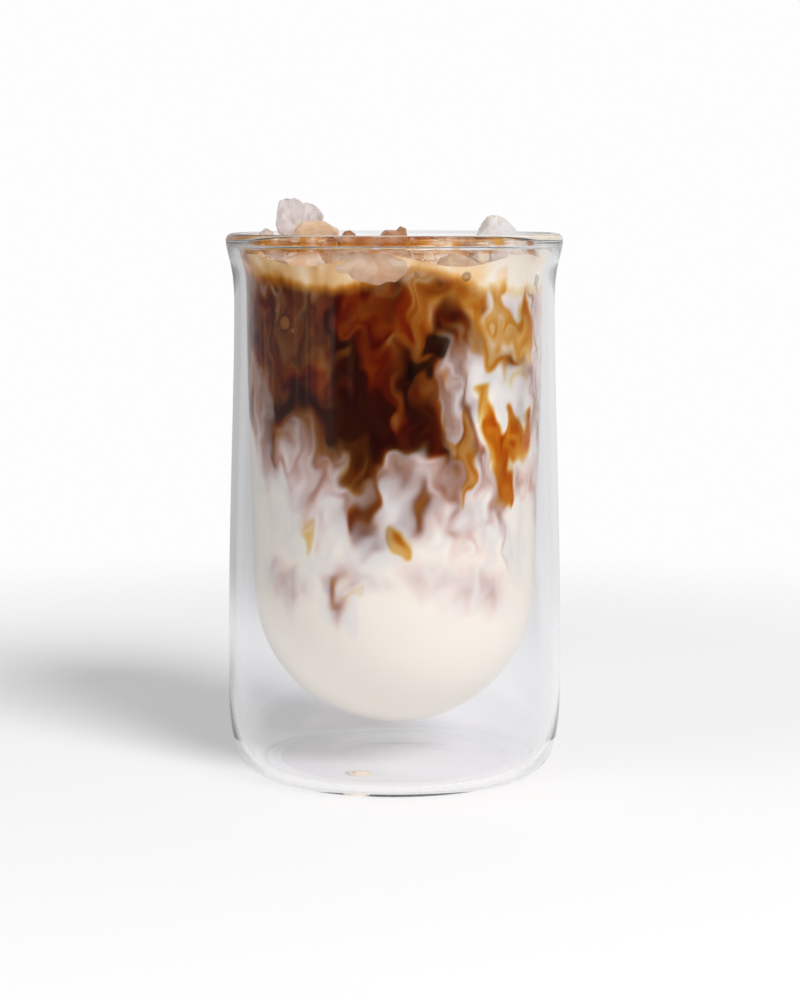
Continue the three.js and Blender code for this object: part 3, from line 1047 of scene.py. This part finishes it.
def dye(places, inward):
    """Colour of the light that comes back from the drink, layer by layer from the deepest"""
    back = None
    thickness = np.diff(DEPTHS, prepend=0)
    for depth, thick in zip(DEPTHS[::-1], thickness[::-1]):
        scatter, ratio = mixed(coffee_share(places + (depth - thick / 2) * inward))
        a = 1 + ratio
        b = np.sqrt(a * a - 1)
        if back is None:
            back = a - b
        path = np.minimum(b * scatter * thick, 20)
        below = a * np.sinh(path) + b * np.cosh(path)
        layer = np.sinh(path) / below
        through = b / below
        back = layer + through ** 2 * back / (1 - layer * back)
    return back


def foam_edge(angle):
    """Height of the foam's lower edge at an angle from the front"""
    degrees, heights = zip(*FOAM_EDGE)
    return np.interp(np.degrees(angle), degrees, heights)


def foamed(places, upward, colours, clear):
    """The drink's colours through its clear films, with the foam over them and a golden fringe between them.
    Foam takes up a little of a film's colour, its top is browner than its sides, and its right side is paler
    with painted light."""
    drift = carried(places, CURRENTS[2])
    angle = np.arctan2(places[:, 0], -places[:, 1])
    height = places[:, 2] + FOAM_UNEVEN * ripple(places, PATCHES) + FOAM_DRIPS * ripple(places, STREAKS)
    amount = smooth(height - foam_edge(angle), *FOAM_FADE)[:, None]
    swirl = ripple(drift, FOAM_PATTERN)
    grain = FOAM_SWIRL * swirl + FOAM_GRAIN * ripple(drift, WISPS)
    # Paler toward the right: painted light on the side the key lamp lights
    pale = FOAM_PALENESS + grain + FOAM_LIGHT_ON_RIGHT * np.maximum(np.sin(angle), 0)
    crema = CREMA_PALENESS + CREMA_SWIRL * swirl
    pale = pale + smooth(upward, 0.3, 0.7) * (crema - pale)
    stops = [place for place, _ in FOAM_COLOURS]
    shades = np.array([colour for _, colour in FOAM_COLOURS])
    foam = np.stack([np.interp(pale, stops, channel) for channel in shades.T], 1)
    foam = foam * np.exp(-FOAM_FILM * clear)
    colours = colours * np.exp(-clear)
    less = FRINGE_LESS_RIGHT * smooth(np.sin(angle), 0.4, 0.7)
    fringe = 4 * amount * (1 - amount) * (1 - less)[:, None]
    return (colours + amount * (foam - colours)) * np.exp(-FRINGE_FILM * fringe * FILM_TINT)


def marked_and_shaded(places, colours):
    """Drips down the wall, dark openings darkened further with painted shade, and bubbles with rims darkened
    by painted shade
    """
    x, y, z = places.T
    angle = np.arctan2(x, -y)
    wall = smooth(np.hypot(x, y), BOWL_RADIUS - 1, BOWL_RADIUS)
    drips = np.maximum(ripple(places, STREAKS), 0) * smooth(-np.sin(angle), 0.2, 0.6)
    drips = STREAK_STRENGTH * drips * smooth(z, *STREAK_START) * (1 - smooth(z, *STREAK_END)) * wall
    colours = colours + drips[:, None] * (STREAK_COLOUR - colours)
    eddy = carried(places, CURRENTS[0])
    # Dark coffee with painted shade in the gaps between the ice
    for degrees, height, wide, tall in SHADED_OPENINGS:
        across = CUP_RADIUS * (np.arctan2(eddy[:, 0], -eddy[:, 1]) - math.radians(degrees))
        away = np.hypot(across / wide, (eddy[:, 2] - height) / tall) + 0.25 * ripple(places, WISPS)
        colours = colours * (1 - OPENING_SHADE * smooth(-away, -1.2, -0.7) * wall)[:, None]
    for degrees, height, radius in BUBBLES:
        away = np.hypot(CUP_RADIUS * (angle - math.radians(degrees)), z - height) / radius
        inside = smooth(-away, -1.0, -0.8) * wall
        # Each bubble's rim is darkened with painted shade
        rim_shade = smooth(-np.abs(away - 0.92), -0.28, -0.08) * wall
        colours = colours + BUBBLE_STRENGTH * inside[:, None] * (BUBBLE_COLOUR - colours)
        colours = colours * (1 - BUBBLE_RIM_SHADE * rim_shade)[:, None]
    return colours


def facing_out(places, normals):
    """Normals that point straight out at the wall, also along a layer's edge"""
    x, y, z = places.T
    at_wall = np.hypot(x, y) > fill_radius(z) - INTO_WALL
    out = np.stack([x, y, np.minimum(z - BOWL_HEIGHT, 0)], 1)
    out /= np.maximum(np.linalg.norm(out, axis=1), 1e-6)[:, None]
    return np.where(at_wall[:, None], out, normals)


def paint(piece, *finishes):
    """Stores the drink's colour at each point of a piece, with its painted shade and light, and gives its
    upward faces the last finish
    """
    mesh = piece.data
    places = points_of(mesh)
    outward = facing_out(places, points_of(mesh, "normal"))
    clear = film(places)[:, None] * FILM_TINT
    colours = marked_and_shaded(places, foamed(places, outward[:, 2], dye(places, -outward), clear))
    # The stored dye holds the drink's colour together with painted shade and light
    store_colours(mesh, "dye", colours)
    finish(piece, *finishes)
    facing = np.empty(len(mesh.polygons) * 3)
    mesh.polygons.foreach_get("normal", facing)
    upward = facing.reshape(-1, 3)[:, 2] > 0.5
    mesh.polygons.foreach_set("material_index", (upward * (len(finishes) - 1)).astype(np.int32))


def open_places(foam, ice):
    """Places on the foam's top that are clear of the ice, with a size for a bubble at each"""
    chunks = ice_cutter(ice)
    depsgraph = bpy.context.evaluated_depsgraph_get()
    surface = BVHTree.FromObject(foam, depsgraph)
    blocked = BVHTree.FromObject(chunks, depsgraph)
    draw = np.random.default_rng(FROTH_SEED)
    down = Vector((0, 0, -1))
    found = []
    for _ in range(FROTH_TRIES):
        angle = draw.uniform(0, math.tau)
        radius = CUP_RADIUS * math.sqrt(draw.uniform())
        size = FROTH_SMALL * (FROTH_LARGE / FROTH_SMALL) ** (draw.uniform() ** 2)
        above = Vector((radius * math.cos(angle), radius * math.sin(angle), RIM_TOP + 20)) * MM
        place = surface.ray_cast(above, down)[0]
        under_ice = blocked.ray_cast(above, down)[0] is not None
        if place is None or under_ice or place.z < (FILL_HEIGHT - 1) * MM:
            continue
        if blocked.find_nearest(place)[3] > size * MM:
            found.append((np.array(place) / MM, size))
    bpy.data.objects.remove(chunks)
    return found


def make_froth(foam, ice):
    """Bubbles on the foam's top, in one mesh: domes with painted shade at the foot and painted light on the
    top
    """
    columns = FROTH_COLUMNS
    turns = np.arange(columns) / columns * math.tau
    rings = []
    for climb in np.radians(FROTH_CLIMBS):
        flat = np.stack([np.cos(turns), np.sin(turns)], 1) * np.cos(climb)
        rings.append(np.c_[flat, np.full(columns, np.sin(climb))])
    dome = np.concatenate(rings + [[(0, 0, 1)]])
    # Painted shade at each dome's foot grows to painted light at its top
    shade = FROTH_SHADE_TO_LIGHT[0] + smooth(dome[:, 2:], 0.1, 0.8) * (FROTH_SHADE_TO_LIGHT[1] - FROTH_SHADE_TO_LIGHT[0])
    quads = [(low + a, low + (a + 1) % columns, low + columns + (a + 1) % columns, low + columns + a)
             for low in range(0, columns * (len(rings) - 1), columns) for a in range(columns)]
    last = columns * (len(rings) - 1)
    caps = [(last + a, last + (a + 1) % columns, len(dome) - 1) for a in range(columns)]
    found = open_places(foam, ice)
    low_dome = dome * [1, 1, FROTH_HEIGHT] - [0, 0, FROTH_SUNK]
    vertices = np.concatenate([place + size * low_dome for place, size in found])
    faces = [tuple(index * len(dome) + corner for corner in face)
             for index in range(len(found)) for face in quads + caps]
    froth = new_piece("froth", vertices, faces)
    # The froth's stored dye is this painted shade and light
    store_colours(froth.data, "dye", np.tile(shade, (len(found), 1)))
    finish(froth, drink_material("froth_film", 0.5, 0.16))
    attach(froth, BODY)


def make_drink(ice):
    side = drink_material("drink_side", 0.0, 0.5)
    surface = drink_material("drink_surface", 0.4, 0.3)
    milk = make_milk()
    coffee = make_coffee()
    foam = make_foam()
    combine(coffee, ice_cutter(ice), "DIFFERENCE")
    combine(foam, ice_cutter(ice), "DIFFERENCE")
    layers = [(milk, "milk", [side]), (coffee, "coffee", [side]), (foam, "foam", [side, surface])]
    for piece, name, finishes in layers:
        soft_edges(piece, 50)
        paint(piece, *finishes)
        show(piece, name, name)
    make_froth(foam, ice)


# Studio
def make_camera():
    lens = bpy.data.cameras.new("camera")
    lens.lens = CAMERA_LENS
    lens.sensor_width = 36
    camera = bpy.data.objects.new("camera", lens)
    camera.location = (CAMERA_ASIDE * MM, -CAMERA_BACK * MM, CAMERA_HEIGHT * MM)
    camera.rotation_euler = (math.radians(90 - CAMERA_PITCH), 0, 0)
    bpy.context.scene.collection.objects.link(camera)
    bpy.context.scene.camera = camera


def make_floor():
    """A white floor that fades away with distance"""
    reach = FLOOR_REACH / MM
    corners = [(-reach, -reach, 0), (reach, -reach, 0), (reach, reach, 0), (-reach, reach, 0)]
    floor = new_piece("floor", corners, [(0, 1, 2, 3)])
    made = material("floor_white", {"Base Color": (0.912, 0.912, 0.918, 1), "Roughness": 0.9,
                                    "Specular IOR Level": 0.1})
    tree = made.node_tree
    place = node(tree, "ShaderNodeTexCoord").outputs["Object"]
    away = node(tree, "ShaderNodeVectorMath", {"operation": "LENGTH"}, {0: place}).outputs["Value"]
    fade = node(tree, "ShaderNodeMapRange", {"interpolation_type": "SMOOTHSTEP"},
                {"Value": away, "From Min": FLOOR_FADE[0], "From Max": FLOOR_FADE[1]})
    clear = node(tree, "ShaderNodeBsdfTransparent")
    mixed_shader = node(tree, "ShaderNodeMixShader", None, {
        0: fade.outputs["Result"], 1: tree.nodes["Principled BSDF"].outputs[0], 2: clear.outputs[0]})
    tree.links.new(mixed_shader.outputs[0], tree.nodes["Material Output"].inputs["Surface"])
    finish(floor, made)


def panel(tree, azimuth, elevation, row):
    """How brightly one lit panel shows in a direction. A panel at the back is the same on both sides."""
    middle, half, level, tall, edge, strength = row
    if middle == 180:
        azimuth = math_node(tree, "ABSOLUTE", azimuth)
    away = math_node(tree, "ABSOLUTE", math_node(tree, "SUBTRACT", azimuth, math.radians(middle)))
    above = math_node(tree, "ABSOLUTE", math_node(tree, "SUBTRACT", elevation, math.radians(level)))
    shares = [
        node(tree, "ShaderNodeMapRange", {"interpolation_type": "SMOOTHSTEP"}, {
            "Value": value, "From Min": math.radians(size - edge), "From Max": math.radians(size + edge),
            "To Min": 1.0, "To Max": 0.0}).outputs["Result"]
        for value, size in ((away, half), (above, tall))
    ]
    return math_node(tree, "MULTIPLY", math_node(tree, "MULTIPLY", *shares), strength)


def make_surroundings():
    """White behind everything, soft light for the drink, and a dark room with lit panels for reflections"""
    world = bpy.data.worlds.new("studio")
    world.use_nodes = True
    bpy.context.scene.world = world
    world.cycles.sampling_method = "NONE"
    tree = world.node_tree
    path = node(tree, "ShaderNodeLightPath")
    direction = node(tree, "ShaderNodeTexCoord").outputs["Generated"]
    facing = node(tree, "ShaderNodeSeparateXYZ", None, {0: direction})
    forward = math_node(tree, "MULTIPLY", facing.outputs["Y"], -1.0)
    azimuth = math_node(tree, "ARCTAN2", facing.outputs["X"], forward)
    elevation = math_node(tree, "ARCSINE", facing.outputs["Z"])
    room = ROOM
    for row in PANELS:
        room = math_node(tree, "MAXIMUM", panel(tree, azimuth, elevation, row), room)
    reflected = math_node(tree, "GREATER_THAN", path.outputs["Glossy Depth"], 0.5)
    seen = node(tree, "ShaderNodeMix", {"data_type": "FLOAT"}, {0: reflected, 2: WHITE, 3: room}).outputs[0]
    card = panel(tree, azimuth, elevation, CARD_PANEL)
    seen = math_node(tree, "MULTIPLY", seen, math_node(tree, "SUBTRACT", 1.0, card))
    soft = node(tree, "ShaderNodeMix", {"data_type": "FLOAT"},
                {0: path.outputs["Is Diffuse Ray"], 2: seen, 3: AMBIENT}).outputs[0]
    light = node(tree, "ShaderNodeMix", {"data_type": "FLOAT"},
                 {0: path.outputs["Is Camera Ray"], 2: soft, 3: WHITE}).outputs[0]
    background = tree.nodes["Background"]
    background.inputs["Color"].default_value = (1, 1, 1, 1)
    tree.links.new(light, background.inputs["Strength"])


def make_lamp(name, place, target, size, watts):
    lamp = bpy.data.lights.new(name, "AREA")
    lamp.shape = "DISK"
    lamp.size = size
    lamp.energy = watts
    holder = bpy.data.objects.new(name, lamp)
    holder.location = place
    toward = np.array(target) - np.array(place)
    flat = math.hypot(toward[0], toward[1])
    tip = math.atan2(flat, -toward[2])
    holder.rotation_euler = (tip, 0, math.atan2(toward[1], toward[0]) - math.pi / 2)
    holder.visible_camera = False
    holder.visible_glossy = False
    holder.visible_transmission = False
    bpy.context.scene.collection.objects.link(holder)


def make_studio():
    make_camera()
    make_floor()
    make_surroundings()
    for name, settings in LAMPS.items():
        make_lamp(name, *settings)
    scene = bpy.context.scene
    scene.view_settings.view_transform = "Standard"
    scene.cycles.max_bounces = 32
    scene.cycles.transmission_bounces = 32
    scene.cycles.glossy_bounces = 12
    scene.cycles.diffuse_bounces = 4
    scene.cycles.transparent_max_bounces = 32
    scene.cycles.use_denoising = True


make_studio()
make_glass()
make_plug()
make_drink(make_all_ice())
